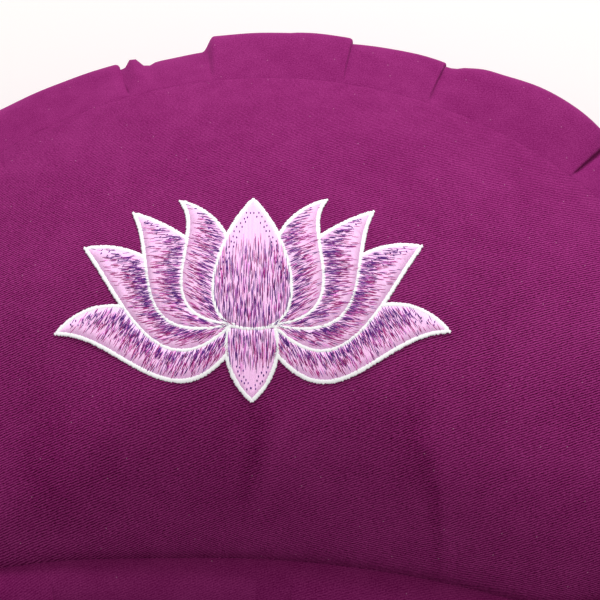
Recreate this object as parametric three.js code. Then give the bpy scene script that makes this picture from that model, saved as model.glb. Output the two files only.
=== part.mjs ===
// Crescent meditation cushion: a filled crescent with a crowned top panel, a flat bottom
// panel, a side band laid in pleats, and a lotus embroidered on the front slope of the top.
// Millimetres, +Z up. +X is the sitter's left-to-right, -Y the hollow front, +Y the round
// back. The origin is on the floor, under the middle of the cushion's box.

import * as THREE from 'three';

// Overall size
const WIDTH = 478;
const DEPTH = 305;
const HEIGHT = 135;

// Plan: a half-round back, two round horns and a hollow front arch, all tangent arcs
const HORN_RADIUS = 115;
const FRONT_HOLLOW = 13.5;

// Seams: how far each lies inside the widest outline, and the top seam's height
const TOP_SEAM_INSET = 30;
const BOTTOM_SEAM_INSET = 26;
const SEAM_HEIGHT_BACK = 88;
const SEAM_HEIGHT_FRONT = 80;

// Where the top seam is drawn up: direction from the crown's peak, in degrees clockwise from
// the back, how far to either side it reaches, and by how much
const SEAM_RISES = [
  { toward: -139, spread: 13, rise: 14 },
];

// Crown: where it peaks, how round it is there, and how steeply it leaves the seam
const PEAK_Y = 8;
const CROWN_BACK = { round: 1.7, lift: 1.0 };
const CROWN_FRONT = { round: 2.35, lift: 0.70 };

// Cloth and the clearance between pieces
const CLOTH = 2;
const GAP = 0.3;
// The body's crown has fewer rings than the panel over it, so it keeps a little further off
const CROWN_GAP = 0.45;
// Hidden flat faces carry a middle ring, this share of the way to the peak
const FLAT_MIDDLE = 0.5;

// Mesh density: spacing of the stations, and the panel's rings as shares of the way from
// the seam to the peak; and the step with which slopes are measured
const STATION_STEP = 19;
const PANEL_SHARES = [0, 0.025, 0.07, 0.13, 0.21, 0.31, 0.43, 0.57, 0.72, 0.87];
const SLOPE_STEP = 0.5;

// Side band from the top seam down to the bottom seam: share of the top seam's inset, share
// of the top seam's height at the back and at the front, and how much of a pleat shows there
const BAND_ROWS = [
  { inset: 0.80, back: 0.955, front: 1.02, pleat: 0.22 },
  { inset: 0.60, back: 0.910, front: 1.01, pleat: 0.44 },
  { inset: 0.40, back: 0.863, front: 0.97, pleat: 0.66 },
  { inset: 0.22, back: 0.815, front: 0.89, pleat: 0.86 },
  { inset: 0.09, back: 0.765, front: 0.80, pleat: 0.97 },
  { inset: 0.02, back: 0.700, front: 0.70, pleat: 1.0 },
  { inset: 0.00, back: 0.600, front: 0.60, pleat: 0.8 },
  { inset: 0.00, back: 0.450, front: 0.45, pleat: 0.45 },
  { inset: 0.05, back: 0.300, front: 0.30, pleat: 0.3 },
  { inset: 0.18, back: 0.170, front: 0.17, pleat: 0.4 },
  { inset: 0.42, back: 0.070, front: 0.07, pleat: 0.3 },
];
// How fast the front's profile takes over from the back's, past the cushion's two sides
const FRONT_GROWS = 1.4;

// Pleats: place along the widest outline, to the right positive, measured from the middle of
// the back or of the front; how far the band stands out at the end of this stretch that is
// near the middle and at its far end, the fold; how far it balloons between them; and how
// wide the step at the fold is
const BACK_PLEATS = [
  { at: -468, near: 0, far: 3.5, puff: 1, step: 2 },
  { at: -396, near: 0, far: 4.5, puff: 2, step: 2 },
  { at: -322, near: 0.5, far: 5, puff: 3, step: 2 },
  { at: -246, near: 1, far: 5, puff: 3, step: 2 },
  { at: -174, near: 1.4, far: 3.0, puff: -0.5, step: 2 },
  { at: -89, near: -1.4, far: -2.2, puff: -0.6, step: 2 },
  { at: -43.5, near: 7.6, far: 6.8, puff: 0.2, step: 6.5 },
  { at: 27, near: 7.9, far: 7.6, puff: 0.3, step: 2 },
  { at: 74, near: 4.5, far: 5.8, puff: 0.6, step: 2 },
  { at: 161, near: 4.0, far: 8.8, puff: 6.8, step: 2 },
  { at: 236, near: 3, far: 6, puff: 4, step: 2 },
  { at: 314, near: 1, far: 5, puff: 3, step: 2 },
  { at: 394, near: 0, far: 4.5, puff: 2, step: 2 },
  { at: 466, near: 0, far: 3.5, puff: 1, step: 2 },
];
const FRONT_PLEATS = [
  { at: -88, near: 0, far: 2.5, puff: 1, step: 2 },
  { at: 12, near: 0, far: 2, puff: 1, step: 2 },
  { at: 92, near: 0, far: 2.5, puff: 1, step: 2 },
];

// Soft troughs that the front seam pulls into the slope above it; a depth below zero is a
// ridge between two pulls
const TROUGHS = [
  { across: 0, lean: 0.0, reach: 0.55, width: 11, depth: -3.0 },
  { across: 77, lean: -0.17, reach: 0.5, width: 11, depth: -2.6 },
  { across: -88, lean: 0.25, reach: 0.4, width: 8, depth: 1.2 },
];

// Lotus, in the flat of the cloth: across and up from the point where its petals meet
const LOTUS_X = -10;
const LOTUS_BASE_Y = -18;
const LOTUS_TURN = THREE.MathUtils.degToRad(3);
const STITCH_HEIGHT = 1;
const STITCH_LIFT = 0.35;
const FIELD_MARGIN = 0.5;
const FIELD_ROWS = 9;
const FIELD_COLUMNS = 3;
// A field's first and last rows, as shares of its petal's length
const FIELD_FROM = 0.08;
const FIELD_TO = 0.95;
// Both long edges of the centre and lower petals: foot or head, two handles, and tip
const CENTRE_PETAL = { root: [0, -3], low: [28, -4], high: [17, 38], tip: [0, 60] };
const LOWER_PETAL = { root: [10, -3], low: [13, -14], high: [9, -26], tip: [0, -34] };
// Side petals, inner to outer: the outer edge's root, two handles and tip; where on its inner
// neighbour's outer edge the field starts and its upper edge joins; the upper edge's bow
const SIDE_PETALS = [
  { root: [11, -1], low: [49, 4], high: [18.5, 43], tip: [32.4, 60], starts: 0.20, joins: 0.74, bow: 3 },
  { root: [12, -2], low: [56, -10], high: [41, 30], tip: [53, 54.4], starts: 0.03, joins: 0.69, bow: 1 },
  { root: [12, -4], low: [42, -32], high: [58, 14], tip: [74, 37.3], starts: 0.03, joins: 0.71, bow: 2.5 },
  { root: [12.5, -16], low: [38, -44], high: [58, -4], tip: [85, -3], starts: 0.03, joins: 0.64, bow: 4.5 },
];

// ---------------------------------------------------------------- plan outline

const HORN_X = WIDTH / 2 - HORN_RADIUS;
const BACK_RADIUS = (HORN_X ** 2 + DEPTH ** 2 - 2 * DEPTH * HORN_RADIUS)
  / (2 * (DEPTH - 2 * HORN_RADIUS));
const BACK_Y = DEPTH / 2 - BACK_RADIUS;
const HORN_Y = HORN_RADIUS - DEPTH / 2;
const ARCH_TOP_Y = FRONT_HOLLOW - DEPTH / 2;
const ARCH_RISE = HORN_Y - ARCH_TOP_Y;
const ARCH_RADIUS = (HORN_X ** 2 + ARCH_RISE ** 2 - HORN_RADIUS ** 2)
  / (2 * (HORN_RADIUS - ARCH_RISE));
const ARCH_Y = ARCH_TOP_Y - ARCH_RADIUS;

// Each arc of the right half: centre, radius, side of the cloth, and the turn of its normal
const BACK_TURN = Math.atan2(HORN_X, HORN_Y - BACK_Y);
const ARCH_TURN = Math.PI + Math.atan2(HORN_X, HORN_Y - ARCH_Y);
const ARCS = [
  { x: 0, y: BACK_Y, radius: BACK_RADIUS, side: 1, from: 0, to: BACK_TURN },
  { x: HORN_X, y: HORN_Y, radius: HORN_RADIUS, side: 1, from: BACK_TURN, to: ARCH_TURN },
  { x: 0, y: ARCH_Y, radius: ARCH_RADIUS, side: -1, from: ARCH_TURN, to: Math.PI },
];
const arcLength = (arc) => Math.abs(arc.to - arc.from) * arc.radius;
const HALF_ROUND = ARCS.reduce((sum, arc) => sum + arcLength(arc), 0);

// The outline's point at a station, moved inward by inset, with its outward normal
function outlinePoint(station, inset) {
  const mirror = station < 0 ? -1 : 1;
  let run = Math.abs(station);
  let arc = ARCS[0];
  for (const next of ARCS) {
    arc = next;
    if (run <= arcLength(arc)) break;
    if (next !== ARCS[2]) run -= arcLength(arc);
  }
  const turn = arc.from + Math.sign(arc.to - arc.from) * run / arc.radius;
  const normal = new THREE.Vector2(Math.sin(turn), Math.cos(turn));
  const reach = arc.side * (arc.radius - arc.side * inset);
  return {
    x: mirror * (arc.x + reach * normal.x),
    y: arc.y + reach * normal.y,
    nx: mirror * normal.x,
    ny: normal.y,
  };
}

// ---------------------------------------------------------------- crown of the top panel

const smooth = (value) => {
  const t = THREE.MathUtils.clamp(value, 0, 1);
  return t * t * (3 - 2 * t);
};

// 0 towards the back, 1 towards the front, for a direction from the peak
const frontShare = (directionY) => smooth((1 - directionY) / 2);
function seamHeight(directionX, directionY) {
  const angle = THREE.MathUtils.radToDeg(Math.atan2(directionX, directionY));
  let height = THREE.MathUtils.lerp(SEAM_HEIGHT_BACK, SEAM_HEIGHT_FRONT, frontShare(directionY));
  for (const { toward, spread, rise } of SEAM_RISES) {
    height += rise * Math.exp(-(((angle - toward) / spread) ** 2));
  }
  return height;
}

// Where the seam's arcs meet, as angles from the peak, clockwise from the back
const angleFromPeak = (x, y) => Math.atan2(Math.abs(x), y - PEAK_Y);
const arcEndAngle = (index) => {
  const arc = ARCS[index];
  const radius = arc.radius - TOP_SEAM_INSET;
  return angleFromPeak(arc.x + radius * Math.sin(arc.to), arc.y + radius * Math.cos(arc.to));
};
const HORN_STARTS = arcEndAngle(0);
const HORN_ENDS = arcEndAngle(1);

// Distance from the peak to the top seam in a direction
function seamReach(directionX, directionY) {
  const angle = Math.atan2(Math.abs(directionX), directionY);
  let index = 2;
  if (angle < HORN_ENDS) index = 1;
  if (angle < HORN_STARTS) index = 0;
  const arc = ARCS[index];
  const radius = arc.radius - arc.side * TOP_SEAM_INSET;
  const along = arc.x * Math.abs(directionX) + (arc.y - PEAK_Y) * directionY;
  const square = arc.x ** 2 + (arc.y - PEAK_Y) ** 2;
  return along + arc.side * Math.sqrt(along ** 2 - square + radius ** 2);
}

// Height of the top panel's face over a point of the plan
function topHeight(x, y) {
  const distance = Math.hypot(x, y - PEAK_Y);
  if (distance < 1e-6) return HEIGHT;
  const directionY = (y - PEAK_Y) / distance;
  const up = Math.max(0, 1 - distance / seamReach(x / distance, directionY));
  const front = frontShare(directionY);
  const round = THREE.MathUtils.lerp(CROWN_BACK.round, CROWN_FRONT.round, front);
  const lift = THREE.MathUtils.lerp(CROWN_BACK.lift, CROWN_FRONT.lift, front);
  const seam = seamHeight(x / distance, directionY);
  const crown = (1 - (1 - up) ** round) ** lift;
  return seam + (HEIGHT - seam) * crown - troughDepth(x, y, up, directionY);
}

function troughDepth(x, y, up, directionY) {
  if (directionY > 0) return 0;
  let depth = 0;
  for (const trough of TROUGHS) {
    const centre = trough.across + trough.lean * (y - ARCH_TOP_Y);
    const fade = Math.sin(Math.PI * THREE.MathUtils.clamp(up / trough.reach, 0, 1));
    depth += trough.depth * fade * Math.exp(-(((x - centre) / trough.width) ** 2));
  }
  return depth;
}

function topPoint(x, y, lift) {
  const step = SLOPE_STEP;
  const slopeX = (topHeight(x + step, y) - topHeight(x - step, y)) / (2 * step);
  const slopeY = (topHeight(x, y + step) - topHeight(x, y - step)) / (2 * step);
  const normal = new THREE.Vector3(-slopeX, -slopeY, 1).normalize();
  return new THREE.Vector3(x, y, topHeight(x, y)).addScaledVector(normal, lift);
}

// ---------------------------------------------------------------- pleats

// Every pleat by its station, the front ones counted on round the horns
const PLEATS = [
  ...BACK_PLEATS,
  ...FRONT_PLEATS.map((pleat) => (
    { ...pleat, at: Math.sign(pleat.at) * HALF_ROUND - pleat.at })),
].sort((a, b) => a.at - b.at);

// Outward rise of the band at a station: it grows towards each fold and drops past it
function pleatRise(station) {
  const side = Math.sign(station) || 1;
  const along = Math.abs(station);
  const folds = PLEATS.filter((pleat) => Math.sign(pleat.at) === side)
    .sort((a, b) => Math.abs(a.at) - Math.abs(b.at));
  let inner = 0;
  for (const fold of folds) {
    const place = Math.abs(fold.at);
    if (along < place) {
      const share = (along - inner) / (place - inner);
      const rise = THREE.MathUtils.lerp(fold.near, fold.far, smooth(share));
      return rise + fold.puff * Math.sin(Math.PI * share);
    }
    inner = place;
  }
  return 0;
}

// Stations round the outline: a pair at each fold, and even steps between
function makeStations() {
  const marks = [-HALF_ROUND];
  for (const pleat of PLEATS) {
    marks.push(pleat.at - pleat.step / 2, pleat.at + pleat.step / 2);
  }
  marks.push(HALF_ROUND);
  const stations = [];
  for (let i = 0; i + 1 < marks.length; i += 1) {
    const count = Math.max(1, Math.round((marks[i + 1] - marks[i]) / STATION_STEP));
    for (let j = 0; j < count; j += 1) {
      stations.push(THREE.MathUtils.lerp(marks[i], marks[i + 1], j / count));
    }
  }
  return stations;
}
const STATIONS = makeStations();

// ---------------------------------------------------------------- mesh helpers

// A closed mesh from rings of equal length, first to last, each end closed to its hub
function meshFromRings(rings, firstHub, lastHub) {
  const count = rings[0].length;
  const points = rings.flat();
  const faces = [];
  for (let row = 0; row + 1 < rings.length; row += 1) {
    for (let i = 0; i < count; i += 1) {
      const j = (i + 1) % count;
      const here = row * count;
      const below = here + count;
      faces.push([here + i, here + j, below + i], [here + j, below + j, below + i]);
    }
  }
  const lastRow = (rings.length - 1) * count;
  const first = points.push(firstHub) - 1;
  const last = points.push(lastHub) - 1;
  for (let i = 0; i < count; i += 1) {
    const j = (i + 1) % count;
    faces.push([first, j, i], [lastRow + i, lastRow + j, last]);
  }
  return geometryFrom(points, faces);
}

function geometryFrom(points, faces) {
  const geometry = new THREE.BufferGeometry();
  const numbers = points.flatMap((point) => [point.x, point.y, point.z]);
  geometry.setAttribute('position', new THREE.Float32BufferAttribute(numbers, 3));
  geometry.setIndex(faces.flat());
  geometry.computeVertexNormals();
  return geometry;
}

// ---------------------------------------------------------------- top panel

// Rings of the panel's face, from the seam up to the last ring before the peak
function panelFace() {
  const peak = new THREE.Vector2(0, PEAK_Y);
  const rings = PANEL_SHARES.map((share) => STATIONS.map((station) => {
    const seam = outlinePoint(station, TOP_SEAM_INSET);
    const place = new THREE.Vector2(seam.x, seam.y).lerp(peak, share);
    const distance = place.distanceTo(peak);
    const height = share === 0
      ? seamHeight(place.x / distance, (place.y - PEAK_Y) / distance)
      : topHeight(place.x, place.y);
    return new THREE.Vector3(place.x, place.y, height);
  }));
  return { rings, hub: new THREE.Vector3(0, PEAK_Y, HEIGHT) };
}

// The face's normals, from its own facets
function faceNormals(face) {
  const count = STATIONS.length;
  const points = [...face.rings.flat(), face.hub];
  const hub = points.length - 1;
  const faces = [];
  for (let row = 0; row + 1 < face.rings.length; row += 1) {
    for (let i = 0; i < count; i += 1) {
      const j = (i + 1) % count;
      const here = row * count;
      const above = here + count;
      faces.push([here + i, above + i, here + j], [here + j, above + i, above + j]);
    }
  }
  for (let i = 0; i < count; i += 1) {
    faces.push([hub - count + i, hub, hub - count + (i + 1) % count]);
  }
  const normals = geometryFrom(points, faces).getAttribute('normal');
  return points.map((_, index) => new THREE.Vector3().fromBufferAttribute(normals, index));
}

const FACE = panelFace();
const NORMALS = faceNormals(FACE);
const normalOf = (row, index) => NORMALS[row * STATIONS.length + index];
const loweredFace = (drop) => FACE.rings.map((ring, row) => ring.map(
  (point, index) => point.clone().addScaledVector(normalOf(row, index), -drop)));
const loweredHub = (drop) => FACE.hub.clone().add(new THREE.Vector3(0, 0, -drop));

function makeTopPanel() {
  const under = loweredFace(CLOTH);
  const rings = [...FACE.rings.slice().reverse(), ...under];
  return meshFromRings(rings, FACE.hub, loweredHub(CLOTH));
}

// ---------------------------------------------------------------- body and bottom panel

// The band's ring for one row of the table
function bandRing(row) {
  return STATIONS.map((station) => {
    const seam = outlinePoint(station, TOP_SEAM_INSET);
    const distance = Math.hypot(seam.x, seam.y - PEAK_Y);
    const height = seamHeight(seam.x / distance, (seam.y - PEAK_Y) / distance);
    const front = smooth(FRONT_GROWS * (PEAK_Y - seam.y) / distance);
    const level = THREE.MathUtils.lerp(row.back, row.front, front);
    const place = outlinePoint(
      station, row.inset * TOP_SEAM_INSET - pleatRise(station) * row.pleat);
    return new THREE.Vector3(place.x, place.y, Math.max(level * height, CLOTH + 2 * GAP));
  });
}

// The seam: the band starts just outside the panel's edge, which lies in a rebate of the body
function seamRings() {
  const rebate = loweredFace(CLOTH + GAP)[0];
  const offsets = FACE.rings[0].map((point, index) => point.clone()
    .sub(FACE.rings[1][index]).setLength(GAP));
  return {
    edge: FACE.rings[0].map((point, index) => point.clone().add(offsets[index])),
    rebate: rebate.map((point, index) => point.clone().add(offsets[index])),
  };
}

const flatRing = (inset, share, z) => STATIONS.map((station) => {
  const seam = outlinePoint(station, inset);
  const place = new THREE.Vector2(seam.x, seam.y).lerp(new THREE.Vector2(0, PEAK_Y), share);
  return new THREE.Vector3(place.x, place.y, z);
});

function makeBody() {
  const drop = CLOTH + CROWN_GAP;
  const cap = loweredFace(drop).slice(1).filter((_, index) => index % 2 === 0).reverse();
  const seam = seamRings();
  const band = BAND_ROWS.map((row) => bandRing(row));
  const floor = CLOTH + GAP;
  const rings = [
    ...cap, seam.rebate, seam.edge, ...band,
    flatRing(BOTTOM_SEAM_INSET, 0, floor),
    flatRing(BOTTOM_SEAM_INSET, FLAT_MIDDLE, floor),
  ];
  return meshFromRings(rings, loweredHub(drop), new THREE.Vector3(0, PEAK_Y, floor));
}

function makeBottomPanel() {
  const rings = [
    flatRing(BOTTOM_SEAM_INSET, FLAT_MIDDLE, CLOTH),
    flatRing(BOTTOM_SEAM_INSET, 0, CLOTH),
    flatRing(BOTTOM_SEAM_INSET, 0, 0),
    flatRing(BOTTOM_SEAM_INSET, FLAT_MIDDLE, 0),
  ];
  return meshFromRings(
    rings, new THREE.Vector3(0, PEAK_Y, CLOTH), new THREE.Vector3(0, PEAK_Y, 0));
}

// ---------------------------------------------------------------- lotus embroidery

// Plan Y of a point so far up the cloth from the lotus's base, following the slope
function planY(up) {
  const step = Math.sign(up) * SLOPE_STEP;
  let y = LOTUS_BASE_Y;
  for (let run = 0; run < Math.abs(up);) {
    const rise = topHeight(LOTUS_X, y + step) - topHeight(LOTUS_X, y);
    run += Math.hypot(step, rise);
    y += step;
  }
  return y;
}

const flat = (across, up) => new THREE.Vector2(across, up);

// An edge bowed to one side between two points
function bowedEdge(start, end, bow) {
  const middle = start.clone().add(end).multiplyScalar(0.5);
  const along = end.clone().sub(start).normalize();
  middle.add(flat(-along.y, along.x).multiplyScalar(2 * bow));
  return new THREE.QuadraticBezierCurve(start, middle, end);
}

// Outer edge of a petal, from its root to its tip, on the right or the left
function outerEdge(petal, side = 1) {
  const [root, low, high, tip] = [petal.root, petal.low, petal.high, petal.tip]
    .map(([across, up]) => flat(side * across, up));
  return new THREE.CubicBezierCurve(root, low, high, tip);
}

// The two long edges of a side petal, as functions of the share from root to tip
function sidePetalEdges(index) {
  const petal = SIDE_PETALS[index];
  const outer = outerEdge(petal);
  const neighbour = outerEdge(index === 0 ? CENTRE_PETAL : SIDE_PETALS[index - 1]);
  const upper = bowedEdge(neighbour.getPoint(petal.joins), outer.v3, petal.bow);
  const inner = (share) => {
    if (share > petal.joins) return upper.getPoint((share - petal.joins) / (1 - petal.joins));
    return neighbour.getPoint(THREE.MathUtils.lerp(petal.starts, petal.joins, share / petal.joins));
  };
  return { inner, outer: (share) => outer.getPoint(share) };
}

// A thin stitched field between two edges, laid on the slope
function makeField(inner, outer, mirror = 1) {
  const top = [];
  const under = [];
  for (let i = 0; i <= FIELD_ROWS; i += 1) {
    const share = THREE.MathUtils.lerp(FIELD_FROM, FIELD_TO, i / FIELD_ROWS);
    const start = inner(share);
    const end = outer(share);
    const width = start.distanceTo(end);
    for (let j = 0; j <= FIELD_COLUMNS; j += 1) {
      const margin = FIELD_MARGIN / width;
      const point = start.clone().lerp(end, margin + (1 - 2 * margin) * j / FIELD_COLUMNS);
      const turned = flat(mirror * point.x, point.y).rotateAround(flat(0, 0), LOTUS_TURN);
      const x = LOTUS_X + turned.x;
      const y = planY(turned.y);
      top.push(topPoint(x, y, STITCH_LIFT + STITCH_HEIGHT));
      under.push(topPoint(x, y, STITCH_LIFT));
    }
  }
  return slabFrom(top, under, FIELD_ROWS + 1, FIELD_COLUMNS + 1, mirror);
}

// A closed slab from two grids of points, rows by columns
function slabFrom(top, under, rows, columns, mirror) {
  const points = [...top, ...under];
  const below = top.length;
  const faces = [];
  const quad = (a, b, c, d) => faces.push([a, b, c], [a, c, d]);
  for (let i = 0; i + 1 < rows; i += 1) {
    for (let j = 0; j + 1 < columns; j += 1) {
      const a = i * columns + j;
      const b = a + 1;
      const c = b + columns;
      const d = a + columns;
      quad(a, b, c, d);
      quad(below + a, below + d, below + c, below + b);
    }
  }
  for (let i = 0; i + 1 < rows; i += 1) {
    const a = i * columns;
    const b = a + columns;
    const c = a + columns - 1;
    const d = c + columns;
    quad(a, b, below + b, below + a);
    quad(d, c, below + c, below + d);
  }
  for (let j = 0; j + 1 < columns; j += 1) {
    const last = (rows - 1) * columns + j;
    quad(j + 1, j, below + j, below + j + 1);
    quad(last, last + 1, below + last + 1, below + last);
  }
  const turned = mirror < 0 ? faces.map(([a, b, c]) => [a, c, b]) : faces;
  return geometryFrom(points, turned);
}

// ---------------------------------------------------------------- assembly

const plum = new THREE.MeshStandardMaterial({ color: 0x82256a, roughness: 0.9 });
const lilac = new THREE.MeshStandardMaterial({ color: 0xd9a8d6, roughness: 0.5 });

const cushion = new THREE.Group();

function addPiece(name, geometry, material) {
  const mesh = new THREE.Mesh(geometry, material.clone());
  mesh.name = name;
  cushion.add(mesh);
}

addPiece('pleated_body', makeBody(), plum);
addPiece('top_panel', makeTopPanel(), plum);
addPiece('bottom_panel', makeBottomPanel(), plum);

const edge = (petal, side) => (share) => outerEdge(petal, side).getPoint(share);
addPiece('petal_centre', makeField(edge(CENTRE_PETAL, -1), edge(CENTRE_PETAL, 1)), lilac);
addPiece('petal_lower', makeField(edge(LOWER_PETAL, 1), edge(LOWER_PETAL, -1)), lilac);
SIDE_PETALS.forEach((_, index) => {
  const { inner, outer } = sidePetalEdges(index);
  addPiece(`petal_right_${index + 1}`, makeField(inner, outer), lilac);
  addPiece(`petal_left_${index + 1}`, makeField(inner, outer, -1), lilac);
});

export default cushion;
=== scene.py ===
import math

import bpy
import numpy as np
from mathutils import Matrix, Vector
from numpy.linalg import norm


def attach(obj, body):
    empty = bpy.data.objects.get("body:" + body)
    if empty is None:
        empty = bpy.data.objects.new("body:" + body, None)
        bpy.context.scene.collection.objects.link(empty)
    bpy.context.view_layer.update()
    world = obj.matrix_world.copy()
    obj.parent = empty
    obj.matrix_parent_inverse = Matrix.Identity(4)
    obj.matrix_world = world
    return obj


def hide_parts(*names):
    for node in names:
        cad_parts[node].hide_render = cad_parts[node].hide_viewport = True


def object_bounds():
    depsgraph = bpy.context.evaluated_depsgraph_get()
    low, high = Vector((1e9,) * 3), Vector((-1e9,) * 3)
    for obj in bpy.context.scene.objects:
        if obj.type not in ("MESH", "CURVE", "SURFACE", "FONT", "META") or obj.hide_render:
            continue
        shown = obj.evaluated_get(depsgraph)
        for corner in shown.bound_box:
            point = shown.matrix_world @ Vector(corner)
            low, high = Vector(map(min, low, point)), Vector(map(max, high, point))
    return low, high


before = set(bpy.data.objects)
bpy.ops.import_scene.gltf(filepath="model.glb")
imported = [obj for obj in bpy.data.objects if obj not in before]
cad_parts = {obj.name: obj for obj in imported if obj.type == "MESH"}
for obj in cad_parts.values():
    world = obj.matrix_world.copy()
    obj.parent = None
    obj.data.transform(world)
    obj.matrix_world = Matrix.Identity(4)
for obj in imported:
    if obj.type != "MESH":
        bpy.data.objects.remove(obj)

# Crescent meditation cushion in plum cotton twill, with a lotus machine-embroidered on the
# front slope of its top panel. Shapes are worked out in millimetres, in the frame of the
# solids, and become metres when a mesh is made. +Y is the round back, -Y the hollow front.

CAD_BOX = [list(corner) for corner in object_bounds()]
MM = 0.001

# ---- driving sizes

WIDTH = 478
DEPTH = 305
HEIGHT = 135

# Plan: a half-round back, two round horns and a hollow front arch, all tangent arcs
HORN_RADIUS = 115
FRONT_HOLLOW = 13.5

# Seams: how far each lies inside the widest outline, the top seam's height, and where round
# the peak it rises: degrees from the back, half width and rise
TOP_SEAM_INSET = 30
BOTTOM_SEAM_INSET = 26
SEAM_HEIGHT_BACK = 88
SEAM_HEIGHT_FRONT = 80
SEAM_RISES = [(-139, 13, 14)]

# Crown: where it peaks, how round it is there, and how steeply it leaves the seam
PEAK_Y = 8
CROWN_BACK = dict(round=1.7, lift=1.0)
CROWN_FRONT = dict(round=2.35, lift=0.70)

CLOTH = 2
GAP = 0.3

# Side band from the top seam down to the bottom seam: share of the top seam's inset, share
# of the top seam's height at the back and at the front, and how much of a pleat shows there
BAND_ROWS = np.array([
    # inset, back, front, pleat
    (1.00, 1.000, 1.00, 0.00),
    (0.80, 0.955, 1.02, 0.22),
    (0.60, 0.910, 1.01, 0.44),
    (0.40, 0.863, 0.97, 0.66),
    (0.22, 0.815, 0.89, 0.86),
    (0.09, 0.765, 0.80, 0.97),
    (0.02, 0.700, 0.70, 1.00),
    (0.00, 0.600, 0.60, 0.80),
    (0.00, 0.450, 0.45, 0.45),
    (0.05, 0.300, 0.30, 0.30),
    (0.18, 0.170, 0.17, 0.40),
    (0.42, 0.070, 0.07, 0.30),
])

# Pleats: place along the widest outline, to the right positive, measured from the middle of
# the back or of the front; how far the band stands out at the end of this stretch that is
# near the middle and at its far end, the fold; how far it balloons between them; and how wide
# the step is where the fold is a soft one
PLEAT_PARTS = ("at", "near", "far", "puff", "soft")
BACK_PLEATS = [
    (-468, 0, 3.5, 1, 0),
    (-396, 0, 4.5, 2, 0),
    (-322, 0.5, 5, 3, 0),
    (-246, 1, 5, 3, 0),
    (-174, 1.4, 3.0, -0.5, 0),
    (-89, -1.4, -2.2, -0.6, 0),
    (-43.5, 7.6, 6.8, 0.2, 6.5),
    (27, 7.9, 7.6, 0.3, 0),
    (74, 4.5, 5.8, 0.6, 0),
    (161, 4.0, 8.8, 6.8, 0),
    (236, 3, 6, 4, 0),
    (314, 1, 5, 3, 0),
    (394, 0, 4.5, 2, 0),
    (466, 0, 3.5, 1, 0),
]
FRONT_PLEATS = [
    (-88, 0, 2.5, 1, 0),
    (12, 0, 2, 1, 0),
    (92, 0, 2.5, 1, 0),
]
# Bumps here and below: place, half width and size. Narrow ridges, and dips below zero, where
# the band's cloth is pinched beside a fold
RIDGES = [
    (-81.5, 3.0, 5.2),
    (-75.0, 3.2, -1.6),
    (78.5, 2.2, -1.3),
    (92.0, 7.0, 0.8),
]
# Narrow creases pressed into the band beside folds, deepest half way out
CREASES = [
    (-90, 1.6, 1.5),
    (-44, 1.2, 0.7),
    (28.3, 1.2, 1.0),
    (76.2, 1.6, 1.9),
    (162.5, 1.5, 1.6),
]
# Short lengths where the top seam is drawn in deeper; the size is how many times more
SEAM_PULLS = [
    (-95, 5, 3),
    (35, 8, 3),
]

# Soft troughs, or ridges where depth is below zero, that the front seam pulls into the slope:
# place across it, lean as it climbs, share of the slope that it reaches, half width and depth
TROUGHS = [
    dict(across=0, lean=0.0, reach=0.55, width=11, depth=-3.0),
    dict(across=-8, lean=0.15, reach=0.6, width=4.5, depth=2.4),
    dict(across=77, lean=-0.17, reach=0.5, width=11, depth=-2.6),
    dict(across=70, lean=-0.05, reach=0.42, width=4.5, depth=2.3),
    dict(across=-88, lean=0.25, reach=0.4, width=8, depth=1.2),
]

# Painted shade along lines where the front slope is pulled, and at its lower left, and painted
# light where dark is below zero: (x, y) of the two ends of its line, and the share of that
# shade painted back as a highlight just to the right
PAINTED_SHADE_LINES = [
    dict(above=(-1, -36), below=(-10, -98), width=4.5, dark=0.12, back=0.5),
    dict(above=(58, -30), below=(66, -88), width=8, dark=0.09, back=0.4),
    dict(above=(70, -72), below=(77, -120), width=2.8, dark=0.11, back=0.5),
    dict(above=(22, -25), below=(24, -92), width=17, dark=-0.07, back=0.0),
    dict(above=(-97, -42), below=(-97, -112), width=13, dark=0.12, back=0.0),
]

# Lotus, in the flat of the cloth: across and up from the point where its petals meet
LOTUS_X = -10
LOTUS_BASE_Y = -18
LOTUS_TURN = math.radians(3)
# Upright petals: the share of the petal that its strands reach up, the dots beside their ends
# (first, end and step, by share of the edge), and the seed that scatters the stitches
CENTRE_PETAL = dict(root=(0, -3), low=(28, -4), high=(17, 38), tip=(0, 60),
                    reach=0.69, dots=(0.5, 0.9, 0.03), seed=6)
LOWER_PETAL = dict(root=(10, -3), low=(13, -14), high=(9, -26), tip=(0, -34),
                   reach=0.60, dots=(0.5, 0.8, 0.06), seed=5)
# Side petals: which stretch of its neighbour's edge each follows, how far its upper edge bows
# out, how its stitches slant, and the turn of its strands at the root, the middle and the tip
SIDE_PETALS = [
    dict(root=(11, -1), low=(49, 4), high=(18.5, 43), tip=(32.4, 60),
         starts=0.20, joins=0.74, bow=3, slant=0.12, turns=(35, 26, 10)),
    dict(root=(12, -2), low=(56, -10), high=(41, 30), tip=(53, 54.4),
         starts=0.03, joins=0.69, bow=1, slant=0.05, turns=(20, 2, -3)),
    dict(root=(12, -4), low=(42, -32), high=(58, 14), tip=(74, 37.3),
         starts=0.03, joins=0.71, bow=2.5, slant=-0.02, turns=(-30, -8, 8)),
    dict(root=(12.5, -16), low=(38, -44), high=(58, -4), tip=(85, -3),
         starts=0.03, joins=0.64, bow=4.5, slant=-0.09, turns=(-66, -63, -56)),
]

# ---- plan outline

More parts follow.
